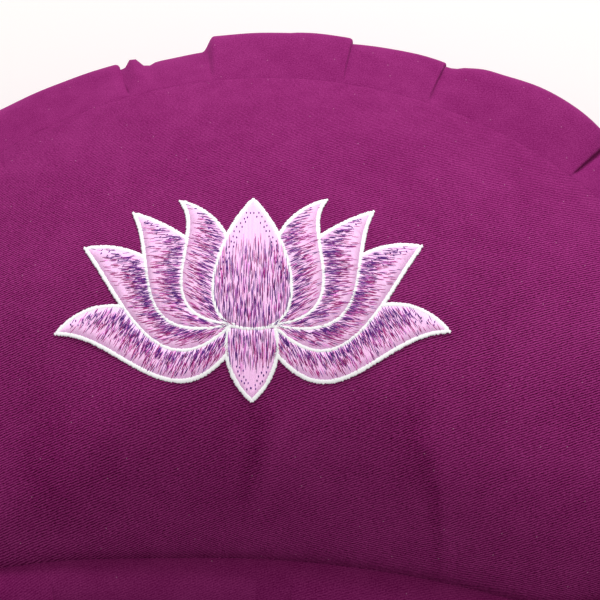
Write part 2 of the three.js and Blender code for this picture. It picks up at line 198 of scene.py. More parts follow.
HORN_X = WIDTH / 2 - HORN_RADIUS
BACK_RADIUS = (HORN_X**2 + DEPTH**2 - 2 * DEPTH * HORN_RADIUS) / (2 * (DEPTH - 2 * HORN_RADIUS))
BACK_Y = DEPTH / 2 - BACK_RADIUS
HORN_Y = HORN_RADIUS - DEPTH / 2
ARCH_TOP_Y = FRONT_HOLLOW - DEPTH / 2
ARCH_RISE = HORN_Y - ARCH_TOP_Y
ARCH_RADIUS = (HORN_X**2 + ARCH_RISE**2 - HORN_RADIUS**2) / (2 * (HORN_RADIUS - ARCH_RISE))
ARCH_Y = ARCH_TOP_Y - ARCH_RADIUS

# Each arc of the right half: centre, radius, side of the cloth, and the turn of its normal
BACK_TURN = math.atan2(HORN_X, HORN_Y - BACK_Y)
ARCH_TURN = math.pi + math.atan2(HORN_X, HORN_Y - ARCH_Y)
ARCS = [
    dict(x=0, y=BACK_Y, radius=BACK_RADIUS, side=1, start=0, end=BACK_TURN),
    dict(x=HORN_X, y=HORN_Y, radius=HORN_RADIUS, side=1, start=BACK_TURN, end=ARCH_TURN),
    dict(x=0, y=ARCH_Y, radius=ARCH_RADIUS, side=-1, start=ARCH_TURN, end=math.pi),
]


def arc_length(arc):
    return abs(arc["end"] - arc["start"]) * arc["radius"]


HALF_ROUND = sum(arc_length(arc) for arc in ARCS)


def outline(station, inset):
    """Plan points at stations round the cushion, moved inward by inset."""
    x = y = begun = 0
    for arc in ARCS:
        here = np.abs(station) >= begun
        way = math.copysign(1, arc["end"] - arc["start"])
        turn = arc["start"] + way * (np.abs(station) - begun) / arc["radius"]
        reach = arc["side"] * arc["radius"] - inset
        x = np.where(here, arc["x"] + reach * np.sin(turn), x)
        y = np.where(here, arc["y"] + reach * np.cos(turn), y)
        begun += arc_length(arc)
    return np.where(station < 0, -x, x), y


# ---- crown of the top panel


def lerp(start, end, share):
    return start + (end - start) * share


def smooth(value):
    share = np.clip(value, 0, 1)
    return share * share * (3 - 2 * share)


def fade(value, ends):
    """0 at the first of two ends, smoothly up to 1 at the second."""
    start, end = ends
    return smooth((value - start) / (end - start))


def bumps(table, place):
    """What the bell-shaped bumps of a table add up to at a place."""
    return sum(size * np.exp(-(((place - at) / width) ** 2)) for at, width, size in table)


def running(steps):
    """Running totals of steps, from zero."""
    return np.concatenate([0 * steps[:1], np.cumsum(steps, axis=0)])


def front_share(toward_y):
    """0 towards the back, 1 towards the front, for a direction from the peak."""
    return smooth((1 - toward_y) / 2)


def seam_height(toward_x, toward_y):
    angle = np.degrees(np.arctan2(toward_x, toward_y))
    height = lerp(SEAM_HEIGHT_BACK, SEAM_HEIGHT_FRONT, front_share(toward_y))
    return height + bumps(SEAM_RISES, angle)


def arc_end_angle(arc):
    """The angle from the peak, clockwise from the back, where the seam's arc ends."""
    radius = arc["radius"] - TOP_SEAM_INSET
    x = arc["x"] + radius * math.sin(arc["end"])
    y = arc["y"] + radius * math.cos(arc["end"])
    return math.atan2(abs(x), y - PEAK_Y)


HORN_STARTS = arc_end_angle(ARCS[0])
HORN_ENDS = arc_end_angle(ARCS[1])


def seam_reach(toward_x, toward_y):
    """Distance from the peak to the top seam in a direction."""
    angle = np.arctan2(np.abs(toward_x), toward_y)
    reaches = []
    for arc in ARCS:
        radius = arc["radius"] - arc["side"] * TOP_SEAM_INSET
        along = arc["x"] * np.abs(toward_x) + (arc["y"] - PEAK_Y) * toward_y
        square = arc["x"] ** 2 + (arc["y"] - PEAK_Y) ** 2
        reaches.append(along + arc["side"] * np.sqrt(np.maximum(along**2 - square + radius**2, 0)))
    past_back = np.where(angle < HORN_ENDS, reaches[1], reaches[2])
    return np.where(angle < HORN_STARTS, reaches[0], past_back)


def trough_depth(x, y, up, toward_y):
    depth = np.zeros(np.shape(x))
    for trough in TROUGHS:
        centre = trough["across"] + trough["lean"] * (y - ARCH_TOP_Y)
        share = np.sin(np.pi * np.clip(up / trough["reach"], 0, 1))
        depth += trough["depth"] * share * np.exp(-(((x - centre) / trough["width"]) ** 2))
    return np.where(toward_y > 0, 0, depth)


def top_height(x, y):
    """Height of the top panel's face over points of the plan."""
    distance = np.maximum(np.hypot(x, y - PEAK_Y), 1e-6)
    toward_x, toward_y = x / distance, (y - PEAK_Y) / distance
    up = np.maximum(0, 1 - distance / seam_reach(toward_x, toward_y))
    front = front_share(toward_y)
    rounding = lerp(CROWN_BACK["round"], CROWN_FRONT["round"], front)
    lift = lerp(CROWN_BACK["lift"], CROWN_FRONT["lift"], front)
    seam = seam_height(toward_x, toward_y)
    crown = (1 - (1 - up) ** rounding) ** lift
    return seam + (HEIGHT - seam) * crown - trough_depth(x, y, up, toward_y)


def top_points(x, y, lift):
    """Points at a height above the top face, along its normal."""
    step = 0.5
    slope_x = (top_height(x + step, y) - top_height(x - step, y)) / (2 * step)
    slope_y = (top_height(x, y + step) - top_height(x, y - step)) / (2 * step)
    normal = np.stack([-slope_x, -slope_y, np.ones_like(slope_x)], -1)
    normal /= norm(normal, axis=-1, keepdims=True)
    return np.stack([x, y, top_height(x, y)], -1) + normal * np.asarray(lift)[..., None]


# ---- softness of the cloth

WAVE_COUNT = 9


def soft_waves(x, y, seed, longest, shortest):
    """A smooth uneven surface from -1 to 1: seeded waves of many directions and lengths."""
    chance = np.random.default_rng(seed)
    total = 0
    for _ in range(WAVE_COUNT):
        length = chance.uniform(shortest, longest)
        turn = chance.uniform(0, math.pi)
        start = chance.uniform(0, 2 * math.pi)
        along = x * math.cos(turn) + y * math.sin(turn)
        total = total + np.sin(2 * math.pi * along / length + start)
    return total / math.sqrt(4.5 * WAVE_COUNT)


def seam_waves(x, y, away, height, full, **kind):
    """Soft waves of the cloth that grow with the way from the seam."""
    return height * soft_waves(x, y, **kind) * smooth(away / full)


# ---- pleats

PLEATS = BACK_PLEATS + [(math.copysign(HALF_ROUND, at) - at, *rest) for at, *rest in FRONT_PLEATS]
PLEATS = [dict(zip(PLEAT_PARTS, row)) for row in sorted(PLEATS, key=lambda row: abs(row[0]))]
FOLD_WIDTH = 2
SOFT_FOLD_COLUMNS = 10
STATION_STEP = 3.0
# A fold from its high side to its low side, for a step of one: the outer layer rolls over
# its edge and runs back under itself before the lower layer starts
FOLD_SECTION = [
    # ahead of the fold, share of the drop
    (-0.45, 0.02), (-0.20, 0.09), (0.00, 0.24), (0.10, 0.45), (0.08, 0.66),
    (-0.08, 0.82), (-0.30, 0.93), (-0.25, 1.00), (0.05, 1.00), (0.35, 1.00),
]


def half_columns(side):
    """Columns of the band along one half, from the back's middle: station, shift and rise."""
    folds = [p for p in PLEATS if p["at"] * side > 0]
    columns = [(0.0, 0.0, folds[0]["near"])]
    inner = 0
    for fold, after in zip(folds, folds[1:] + [None]):
        place = abs(fold["at"])
        count = max(2, round((place - inner) / STATION_STEP))
        for share in np.arange(1, count) / count:
            rise = lerp(fold["near"], fold["far"], smooth(share))
            rise += fold["puff"] * math.sin(math.pi * share)
            columns.append((lerp(inner, place, share), 0.0, rise))
        low = after["near"] if after else 0
        columns += fold_columns(place, fold["far"], low, fold["soft"])
        inner = place
    rest = max(2, round((HALF_ROUND - inner) / STATION_STEP))
    columns += [(lerp(inner, HALF_ROUND, share), 0.0, 0.0) for share in np.arange(1, rest) / rest]
    return [(s, shift, rise + bumps(RIDGES, side * s)) for s, shift, rise in columns]


def fold_columns(place, before, after, soft):
    """Columns through one fold: the higher layer lies over the lower one, or a soft step."""
    if soft:
        shares = np.linspace(0, 1, SOFT_FOLD_COLUMNS)
        return [(place + soft * (k - 0.5), 0.0, lerp(before, after, smooth(k))) for k in shares]
    step = abs(before - after)
    section = FOLD_SECTION if before > after else [(-a, 1 - d) for a, d in reversed(FOLD_SECTION)]
    count = len(section)
    columns = []
    for index, (ahead, drop) in enumerate(section):
        base = FOLD_WIDTH * (index / (count - 1) - 0.5)
        columns.append((place + base, ahead * step - base, lerp(before, after, drop)))
    return columns


LEFT = [(-s, -shift, rise) for s, shift, rise in reversed(half_columns(-1)[1:])]
COLUMNS = np.array(LEFT + half_columns(1) + [(HALF_ROUND, 0.0, 0.0)])

# ---- mesh helpers


def cloth_piece(name, node, finish, rings, cloth, hubs, hub_cloth=(0, 0), sharp=50):
    """A closed piece from rings of points, the first and the last closed to their hubs.

    cloth gives each point's place on the flat cloth, with one more column than rings; sharp is
    the angle in degrees from which an edge shows."""
    rows, count = rings.shape[:2]
    points = np.concatenate([rings.reshape(-1, 3), hubs]) * MM
    first, last = rows * count, rows * count + 1
    i = np.arange(count)
    j = (i + 1) % count
    faces, places = [], []
    for row in range(rows - 1):
        here, below = row * count, (row + 1) * count
        faces += np.stack([here + i, here + j, below + j, below + i], 1).tolist()
        places.append(np.stack(
            [cloth[row, i], cloth[row, i + 1], cloth[row + 1, i + 1], cloth[row + 1, i]], 1))
    hub = np.broadcast_to(np.array(hub_cloth, float), (count, 2))
    faces += np.stack([np.full(count, first), j, i], 1).tolist()
    places.append(np.stack([hub, cloth[0, i + 1], cloth[0, i]], 1))
    bottom = (rows - 1) * count
    faces += np.stack([bottom + i, bottom + j, np.full(count, last)], 1).tolist()
    places.append(np.stack([cloth[-1, i], cloth[-1, i + 1], hub], 1))
    piece = mesh_piece(name, points, faces)
    layer = piece.data.uv_layers.new(name="cloth")
    flat = np.concatenate([place.reshape(-1, 2) for place in places]) * MM
    layer.data.foreach_set("uv", flat.astype(np.float32).ravel())
    bpy.ops.object.select_all(action="DESELECT")
    piece.select_set(True)
    bpy.context.view_layer.objects.active = piece
    bpy.ops.object.shade_smooth_by_angle(angle=math.radians(sharp))
    return fit(piece, finish, node)


def new_object(name, data):
    thing = bpy.data.objects.new(name, data)
    bpy.context.scene.collection.objects.link(thing)
    return thing


def mesh_piece(name, points, faces):
    mesh = bpy.data.meshes.new(name)
    mesh.from_pydata(np.asarray(points).tolist(), [], faces)
    mesh.polygons.foreach_set("use_smooth", [True] * len(mesh.polygons))
    mesh.update()
    return new_object(name, mesh)


def fit(piece, finish, node):
    """Gives a piece its finish, lets it ride on the cushion and stand for its solid."""
    piece.data.materials.append(finish)
    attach(piece, "root")
    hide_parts(node)
    return piece


# ---- top panel

# Even stations round the seam, and rings from the seam to the last one before the peak,
# closer together near the seam
SEAM_STATIONS = np.linspace(-HALF_ROUND, HALF_ROUND, 421)[:-1]
PANEL_ROWS = 68
PANEL_LAST = 0.985
ROW_CROWDING = 1.5
# How fast the front's profile takes over from the back's, past the cushion's two sides
FRONT_GROWS = 1.4
# How far the cloth rolls down into the seam, and how many times that at the middle of the
# front, where the panel's edge stands up instead
SEAM_ROLL = 0.13
SEAM_ROLL_WIDTH = 1.2
PANEL_FRONT_ROLL = -3.0
BAND_FRONT_ROLL = 0.8
SEAM_CLEARANCE = 0.06
PUCKER = 0.12
PUCKER_LENGTH = 13
PUCKER_REACH = 9
PUCKER_WANDER = dict(seed=5, longest=90, shortest=30)
# Soft waves of the panel's cloth: their height, and how far from the seam they are full
PANEL_WAVES = dict(seed=2, longest=95, shortest=38, height=0.45, full=20)


def pucker(station, away):
    """Small pulls that the seam's stitches leave, fading with the way from the seam."""
    wander = 2 * soft_waves(station, 0 * station, **PUCKER_WANDER)
    wave = np.sin(2 * math.pi * station / PUCKER_LENGTH + wander)
    return PUCKER * wave * np.exp(-away / PUCKER_REACH)


def seam_dip(station, away, front_times):
    """How far the cloth rolls down into the seam; at the front it can stand up as a ridge."""
    x, y = outline(station, TOP_SEAM_INSET)
    front = smooth(FRONT_GROWS * (PEAK_Y - y) / np.hypot(x, y - PEAK_Y))
    times = lerp(1, front_times, front) + bumps(SEAM_PULLS, station)
    return SEAM_ROLL * times * np.exp(-((away / SEAM_ROLL_WIDTH) ** 2))


def panel_face():
    """Plan of the panel's rings, their way from the seam and the relief of the cloth there."""
    shares = PANEL_LAST * np.linspace(0, 1, PANEL_ROWS) ** ROW_CROWDING
    x, y = outline(SEAM_STATIONS, TOP_SEAM_INSET)
    x = x * (1 - shares[:, None])
    y = PEAK_Y + (y - PEAK_Y) * (1 - shares[:, None])
    base = top_points(x, y, np.zeros(x.shape))
    away = running(norm(np.diff(base, axis=0), axis=-1))
    relief = pucker(SEAM_STATIONS, away) - seam_dip(SEAM_STATIONS, away, PANEL_FRONT_ROLL)
    return x, y, away, relief + seam_waves(x, y, away, **PANEL_WAVES)


def panel_cloth(x, y, away):
    """The panel's flat cloth: true lengths along every line from the peak."""
    way = away[-1] - away + np.hypot(x[-1], y[-1] - PEAK_Y)
    distance = np.maximum(np.hypot(x, y - PEAK_Y), 1e-6)
    flat = np.stack([x / distance * way, (y - PEAK_Y) / distance * way], -1)
    return np.concatenate([flat, flat[:, :1]], axis=1)


def make_top_panel(finish):
    x, y, away, relief = panel_face()
    face = top_points(x, y, relief)[::-1]
    under = top_points(x, y, relief - CLOTH + 2 * GAP)
    rings = np.concatenate([face, under])
    cloth = panel_cloth(x, y, away)
    cloth = np.concatenate([cloth[::-1], cloth])
    hubs = [(0, PEAK_Y, HEIGHT), (0, PEAK_Y, HEIGHT - CLOTH + 2 * GAP)]
    return cloth_piece("top_panel_cloth", "top_panel", finish, rings, cloth, hubs)


# ---- pleated body

BAND_STEPS = 5
# Ripples of the band's cloth: their height, and how far from the seam they are full
BAND_WAVES = dict(seed=3, longest=70, shortest=16, height=0.45, full=14)
# How early a crease is full, on its way between no pleat and the whole of it
CREASE_FULLNESS = 5
# Rings of the body's hidden top, from the one nearest the peak to the seam, and of its bottom,
# by share of the way from the seam to the peak's place
CAP_SHARES = (0.9, 0.6, 0.3, 0.1, 0.04, 0.012)
BOTTOM_SHARES = (0.3, 0.7)


def through(values, at):
    """A smooth curve through evenly numbered values, at fractional row numbers."""
    padded = np.array([2 * values[0] - values[1], *values, 2 * values[-1] - values[-2]])
    index = np.minimum(at.astype(int), len(values) - 2)
    share = at - index
    a, b, c, d = (padded[index + k] for k in range(4))
    return 0.5 * (
        2 * b + (c - a) * share
        + (2 * a - 5 * b + 4 * c - d) * share**2
        + (3 * b - a - 3 * c + d) * share**3
    )


def band_rings():
    """The side band from just outside the top seam down to the bottom seam."""
    station, shift, rise = COLUMNS.T
    seam_x, seam_y = outline(station, TOP_SEAM_INSET)
    distance = np.hypot(seam_x, seam_y - PEAK_Y)
    height = seam_height(seam_x / distance, (seam_y - PEAK_Y) / distance)
    floor = (CLOTH + GAP) / SEAM_HEIGHT_BACK
    rows = np.vstack([BAND_ROWS, (BOTTOM_SEAM_INSET / TOP_SEAM_INSET, floor, floor, 0)])
    at = np.linspace(0, len(rows) - 1, (len(rows) - 1) * BAND_STEPS + 1)
    inset, back, front, pleat = (through(rows[:, k], at) for k in range(4))
    pleat = np.clip(pleat, 0, 1)
    level = lerp(back[:, None], front[:, None], smooth(FRONT_GROWS * (PEAK_Y - seam_y) / distance))
    outward = -np.gradient(inset) * TOP_SEAM_INSET
    downward = -np.gradient(level, axis=0) * height
    length = np.hypot(outward[:, None], downward)
    away = running(length[1:])
    lift = pucker(station, away) - seam_dip(station, away, BAND_FRONT_ROLL)
    creased = smooth(CREASE_FULLNESS * pleat * (1 - pleat))[:, None]
    lift = lift - bumps(CREASES, station) * creased
    lift = lift + seam_waves(station, away, away, **BAND_WAVES)
    stand = rise * pleat[:, None] + SEAM_CLEARANCE + lift * downward / length
    place = station + shift * pleat[:, None]
    x, y = outline(place, inset[:, None] * TOP_SEAM_INSET - stand)
    z = np.maximum(level * height, CLOTH + GAP) + lift * outward[:, None] / length
    flat = np.stack([np.broadcast_to(place, x.shape), away], -1)
    turn = (2 * HALF_ROUND, 0)
    return np.stack([x, y, z], -1), np.concatenate([flat, flat[:, :1] + turn], axis=1)


def shrunk_rings(ring, shares, height_of):
    """Rings drawn in from one ring towards the peak's place."""
    rings = []
    for share in shares:
        x = ring[:, 0] * (1 - share)
        y = PEAK_Y + (ring[:, 1] - PEAK_Y) * (1 - share)
        rings.append(np.stack([x, y, np.full(x.shape, height_of(x, y))], -1))
    return rings


def make_body(finish):
    band, band_cloth = band_rings()
    drop = CLOTH + GAP
    caps = shrunk_rings(band[0], CAP_SHARES, lambda x, y: top_height(x, y) - drop)
    rebate = band[0] - (0, 0, drop)
    bottoms = shrunk_rings(band[-1], BOTTOM_SHARES, lambda x, y: drop)
    rings = np.stack(caps + [rebate] + list(band) + bottoms)
    above = np.repeat(band_cloth[:1], len(caps) + 1, axis=0)
    below = np.repeat(band_cloth[-1:], len(bottoms), axis=0)
    cloth = np.concatenate([above, band_cloth, below])
    hubs = [(0, PEAK_Y, HEIGHT - drop), (0, PEAK_Y, drop)]
    return cloth_piece("pleated_band", "pleated_body", finish, rings, cloth, hubs, sharp=60)


# ---- bottom panel

BOTTOM_PANEL_SHARES = (0.0, 0.2, 0.5, 0.8)


def make_bottom_panel(finish):
    edge = np.stack(outline(SEAM_STATIONS, BOTTOM_SEAM_INSET), -1)
    above = shrunk_rings(edge, BOTTOM_PANEL_SHARES[::-1], lambda x, y: CLOTH)
    below = shrunk_rings(edge, BOTTOM_PANEL_SHARES, lambda x, y: 0)
    rings = np.stack(above + below)
    cloth = np.concatenate([rings[:, :, :2], rings[:, :1, :2]], axis=1)
    hubs = [(0, PEAK_Y, CLOTH), (0, PEAK_Y, 0)]
    return cloth_piece(
        "bottom_panel_cloth", "bottom_panel", finish, rings, cloth, hubs, (0, PEAK_Y))


# ---- lotus embroidery

WHITE = (0.97, 0.97, 1.0)
PALE = (0.98, 0.67, 0.95)
VIOLET = (0.135, 0.024, 0.275)
MAGENTA = (0.42, 0.030, 0.24)
PINK = (0.70, 0.24, 0.62)
THREAD_SPACING = 0.46
# Kinds of thread: tint is how unevenly it takes its dye
FILL_THREAD = dict(width=0.62, height=0.2, lift=0.45, ends=1.0, tint=0.05)
STRAND = dict(width=0.37, height=0.14, lift=0.60, ends=0.4, tint=0.35)
DOT = dict(width=0.66, height=0.14, lift=0.60, ends=0.6, tint=0.3)
DOT_HALF_LENGTH = 0.5
DOT_WANDER = 0.55

# Where a side petal's stitches begin and end, by share of its edge, and its shortest stitch
ROOT_REACH = -0.03
FILL_END = 0.985
STRAND_END = 0.97
SHORTEST_FILL = 1.2
FILL_POINT_STEP = 3
# The share of a pale stitch that the satin outline covers at each end
FILL_TUCK = 0.03

# Strands offered to a square millimetre of a side petal and of an upright one. Each pair of
# ends is where they are gone and where all of them show: by the way across from a side petal's
# inner edge, and by the way along to its tip
STRANDS_PER_MM2 = 1.25
UPRIGHT_STRANDS_PER_MM2 = 0.70
INNER_ENDS = (0.02, 0.18)
OUTER_ENDS = (0.97, 0.67)
TIP_ENDS = (1, 0.62)
STRAND_NEAREST = 0.06
# Where the strands thin out to this share, and where violet gives way to magenta
THINNING = (0.42, 0.62)
THINNED_SHARE = 0.55
VIOLET_TO_MAGENTA = (0.28, 0.62)
VIOLET_SHARES = (0.93, 0.25)
UPRIGHT_VIOLET_SHARES = (0.9, 0.5)
PINK_SHARE = 0.18
STRAND_LENGTHS = (2.2, 4.2)
UPRIGHT_STRAND_LENGTHS = (3.2, 7.0)
STRAND_TURN_WANDER = 5
UPRIGHT_TURN_WANDER = 1.5
UPRIGHT_STRAY = 0.25
# Upright petals: how far their stitches keep from the edge, the shortest, how much lower the
# strands reach at the sides, how long they take to end, and the share that shows where they do
EDGE_CLEARANCE = 0.3
SHORTEST_UPRIGHT = 1.5
REACH_ARCH = 0.12
REACH_FADE = 0.2
REACH_SHARE = 0.6

# Dots at the ends of the strands: places along and across a side petal, and how far inside an
# upright petal's edge
DOT_SHARES = np.arange(0.70, 0.93, 0.035)
DOT_ACROSS = (0.24, 0.42)
DOT_INWARD = (2.6, 4.6)

# Satin outlines: how much a stitch strays and swells, how far the column runs past the tip,
# where it starts to narrow, and its share of the width at the end
OUTLINE_WIDTH = 2.1
OUTLINE_HEIGHT = 0.27
OUTLINE_LIFT = 0.45
SATIN_SPACING = 0.42
SATIN_STRAY = 0.09
SATIN_SWELL = 0.2
SATIN_STEP = 0.06
TIP_RUN = 1.1
TIP_TAPER = 3.0
TIP_WIDTH = 0.35
EDGE_POINTS = 80

# The slope's middle line is measured in even short steps, below and above the lotus's base
PLAN_STEP = 0.5
STEPS_BELOW = 160
STEPS_ABOVE = 240


def plan_table():
    """The way up the cloth from the lotus's base, and the plan Y that belongs to it."""
    y = LOTUS_BASE_Y + np.arange(-STEPS_BELOW, STEPS_ABOVE + 1) * PLAN_STEP
    x = np.full(y.shape, float(LOTUS_X))
    rise = np.diff(top_height(x, y))
    way = running(np.hypot(PLAN_STEP, rise))
    return way - way[STEPS_BELOW], y


CLOTH_WAY, CLOTH_Y = plan_table()


def on_slope(flat, lift):
    """Points of the flat lotus laid on the slope, at a height above it."""
    cosine, sine = math.cos(LOTUS_TURN), math.sin(LOTUS_TURN)
    across = flat[..., 0] * cosine - flat[..., 1] * sine
    up = flat[..., 0] * sine + flat[..., 1] * cosine
    return top_points(LOTUS_X + across, np.interp(up, CLOTH_WAY, CLOTH_Y), lift)


def bezier(handles, share):
    """Points of a curve from its two ends and its two handles, at shares of it."""
    a, b, c, d = (np.array(point, float) for point in handles)
    t = np.asarray(share, float)[..., None]
    return (1 - t) ** 3 * a + 3 * (1 - t) ** 2 * t * b + 3 * (1 - t) * t * t * c + t**3 * d


def outer_edge(petal, side=1):
    """A petal's outer edge from root to tip, on the right or the left, by share."""
    handles = [petal[key] for key in ("root", "low", "high", "tip")]
    return lambda share: bezier([(side * across, up) for across, up in handles], share)


def side_edges(index, side):
    """A side petal's outer, upper and inner edge, each from root to tip by share.

    The upper edge is bowed and starts where the petal leaves its neighbour; the inner edge
    follows the neighbour's, and then the upper one."""
    petal = SIDE_PETALS[index]
    neighbour = outer_edge(SIDE_PETALS[index - 1] if index else CENTRE_PETAL, side)
    start = neighbour(petal["joins"])
    end = np.array(petal["tip"], float) * (side, 1)
    way = (end - start) / norm(end - start)
    middle = (start + end) / 2 + 2 * side * petal["bow"] * np.array([-way[1], way[0]])

    def upper(share):
        t = np.asarray(share, float)[..., None]
        return (1 - t) ** 2 * start + 2 * t * (1 - t) * middle + t * t * end

    def inner(share):
        share = np.asarray(share, float)
        along = neighbour(lerp(petal["starts"], petal["joins"], share / petal["joins"]))
        above = upper(np.clip((share - petal["joins"]) / (1 - petal["joins"]), 0, 1))
        return np.where((share > petal["joins"])[..., None], above, along)

    return outer_edge(petal, side), upper, inner


def way_along(path):
    """The way along a flat path to each of its points."""
    return running(norm(np.diff(path, axis=0), axis=1))


def left_of(path):
    """Steps of one millimetre to the left of a flat path, at each of its points."""
    along = np.gradient(path, axis=0)
    along /= np.maximum(norm(along, axis=1, keepdims=True), 1e-9)
    return np.stack([-along[:, 1], along[:, 0]], 1)


# A thread's section: across and up, as shares of its width and height
THREAD_SECTION = [(-0.5, 0.0), (-0.28, 0.8), (0.0, 1.0), (0.28, 0.8), (0.5, 0.0), (0.0, -0.4)]


class Threads:
    """Collects threads laid in the flat of the cloth, and makes one mesh of them."""

    def __init__(self):
        self.places, self.lifts, self.colours, self.faces = [], [], [], []
        self.count = 0

    def add(self, path, kind, colour, chance, spread=1.0):
        """One thread along a flat path, thinning to its ends, a little darker or lighter.

        spread widens it, by one number or by one for each point of the path."""
        widths = kind["width"] * spread * np.ones(len(path))
        widths[[0, -1]] *= kind["ends"]
        dye = np.array(colour) * (1 + chance.uniform(-kind["tint"], kind["tint"]))
        self.sweep(path, left_of(path), widths, kind["height"], kind["lift"], dye)

    def sweep(self, path, sides, widths, height, lift, colour):
        """A closed low section swept along a flat path."""
        across, up = np.array(THREAD_SECTION).T
        reach = widths[:, None] * across
        self.places.append((path[:, None] + sides[:, None] * reach[..., None]).reshape(-1, 2))
        self.lifts.append((lift + np.broadcast_to(height, len(path))[:, None] * up).ravel())
        sections = len(across)
        count = len(path) * sections
        self.colours.append(np.broadcast_to(colour, (count, 3)))
        start = self.count
        for row in range(start, start + count - sections, sections):
            for k in range(sections):
                n = (k + 1) % sections
                self.faces.append((row + k, row + n, row + sections + n, row + sections + k))
        self.faces.append(tuple(range(start + sections - 1, start - 1, -1)))
        self.faces.append(tuple(range(start + count - sections, start + count)))
        self.count += count

    def petal(self, name, finish):
        points = on_slope(np.concatenate(self.places), np.concatenate(self.lifts))
        made = mesh_piece(f"stitched_{name}", points * MM, self.faces)
        colours = np.concatenate(self.colours)
        layer = made.data.color_attributes.new(name="thread", type="FLOAT_COLOR", domain="POINT")
        opaque = np.column_stack([colours, np.ones(len(colours))])
        layer.data.foreach_set("color", opaque.astype(np.float32).ravel())
        return fit(made, finish, f"petal_{name}")


def satin(threads, path, chance):
    """A satin column along a flat path, of cross stitches side by side, pointed at its end."""
    last = path[-1] - path[-2]
    path = np.concatenate([path, [path[-1] + TIP_RUN * last / norm(last)]])
    way = way_along(path)
    at = np.arange(0, way[-1], SATIN_SPACING)
    fine = np.stack([np.interp(at, way, path[:, k]) for k in range(2)], 1)
    sides = left_of(fine)
    fine = fine + sides * chance.uniform(-SATIN_STRAY, SATIN_STRAY, (len(fine), 1))
    taper = lerp(TIP_WIDTH, 1, smooth((way[-1] - at) / TIP_TAPER))
    swell = chance.uniform(-SATIN_SWELL, SATIN_SWELL, len(fine))
    widths = OUTLINE_WIDTH * (1 + swell) * taper
    heights = OUTLINE_HEIGHT * (1 + np.where(np.arange(len(fine)) % 2, SATIN_STEP, -SATIN_STEP))
    threads.sweep(fine, sides, widths, heights, OUTLINE_LIFT, WHITE)


def strand(threads, place, turn, length, violet, chance):
    """One short strand about a place, turned by an angle: violet, magenta or pink."""
    colour = VIOLET if chance.uniform() < violet else MAGENTA
    if chance.uniform() < PINK_SHARE:
        colour = PINK
    way = length / 2 * np.array([math.cos(turn), math.sin(turn)])
    threads.add(np.stack([place - way, place, place + way]), STRAND, colour, chance)


def fill_line(threads, start, end, spread, chance):
    """One pale stitch from edge to edge; spread widens it to its two ends."""
    count = max(3, round(norm(end - start) / FILL_POINT_STEP))
    path = lerp(start, end, np.linspace(0, 1, count)[:, None])
    threads.add(path, FILL_THREAD, PALE, chance, np.linspace(*spread, count))


def dot(threads, place, along, chance):
    """One short stitch, as a needle leaves at the end of a strand."""
    half = DOT_HALF_LENGTH * along / norm(along)
    place = place + chance.uniform(-DOT_WANDER, DOT_WANDER, 2)
    threads.add(np.stack([place - half, place, place + half]), DOT, VIOLET, chance)


def strew(threads, inner, outer, turns, side, chance):
    """The short strands of a side petal: dense and violet nearer its inner edge."""
    shares = np.linspace(ROOT_REACH, STRAND_END, 300)
    middle = (inner(shares) + outer(shares)) / 2
    steps = norm(np.diff(middle, axis=0), axis=1)
    widths = norm(outer(shares) - inner(shares), axis=1)
    area = running(steps * (widths[1:] + widths[:-1]) / 2)
    picks = chance.uniform(0, area[-1], round(area[-1] * STRANDS_PER_MM2))
    for share in np.interp(picks, area, shares):
        across = chance.uniform(STRAND_NEAREST, 1)
        shown = fade(across, OUTER_ENDS) * fade(across, INNER_ENDS) * fade(share, TIP_ENDS)
        shown *= lerp(1, THINNED_SHARE, fade(across, THINNING))
        if chance.uniform() > shown:
            continue
        turn = np.interp(share, (0, 0.5, 1), turns) + chance.normal(0, STRAND_TURN_WANDER)
        start, end = inner(share), outer(share)
        # a strand near an edge is short
        room = 1.5 * min(across, 1 - across) * norm(end - start) + 0.7
        length = min(chance.uniform(*STRAND_LENGTHS), room)
        violet = lerp(*VIOLET_SHARES, fade(across, VIOLET_TO_MAGENTA))
        place = lerp(start, end, across)
        strand(threads, place, side * math.radians(turn), length, violet, chance)


def make_side_petal(index, side, finish):
    """A side petal: pale stitches and strands across it, dots by its tip and satin outlines."""
    chance = np.random.default_rng(40 + index + (10 if side < 0 else 0))
    threads = Threads()
    petal = SIDE_PETALS[index]
    outer, upper, inner = side_edges(index, side)
    shares = np.linspace(ROOT_REACH, FILL_END, 400)
    way = way_along((inner(shares) + outer(shares)) / 2)
    beside = np.array([-0.01, 0.0, 0.01])
    for share in np.interp(np.arange(0, way[-1], THREAD_SPACING), way, shares):
        lean = petal["slant"] * 4 * max(share, 0) * (1 - share)
        starts, ends = inner(share + lean / 2 + beside), outer(share - lean / 2 + beside)
        start, end = starts[1], ends[1]
        if norm(end - start) < SHORTEST_FILL:
            continue
        # the stitches fan out, and are wider where they lie further apart
        gaps = norm([starts[2] - starts[0], ends[2] - ends[0]], axis=1)
        spread = np.clip(gaps / gaps.mean(), 0.7, 2.2)
        tucked = lerp(start, end, FILL_TUCK), lerp(start, end, 1 - FILL_TUCK)
        fill_line(threads, *tucked, spread, chance)
    strew(threads, inner, outer, petal["turns"], side, chance)
    for share in DOT_SHARES:
        start, end = inner(share), outer(share)
        for across in DOT_ACROSS:
            dot(threads, lerp(start, end, across), end - start, chance)
    satin(threads, outer(np.linspace(ROOT_REACH, 1, EDGE_POINTS)), chance)
    satin(threads, upper(np.linspace(0, 1, EDGE_POINTS)), chance)
    return threads.petal(f"{'right' if side > 0 else 'left'}_{index + 1}", finish)


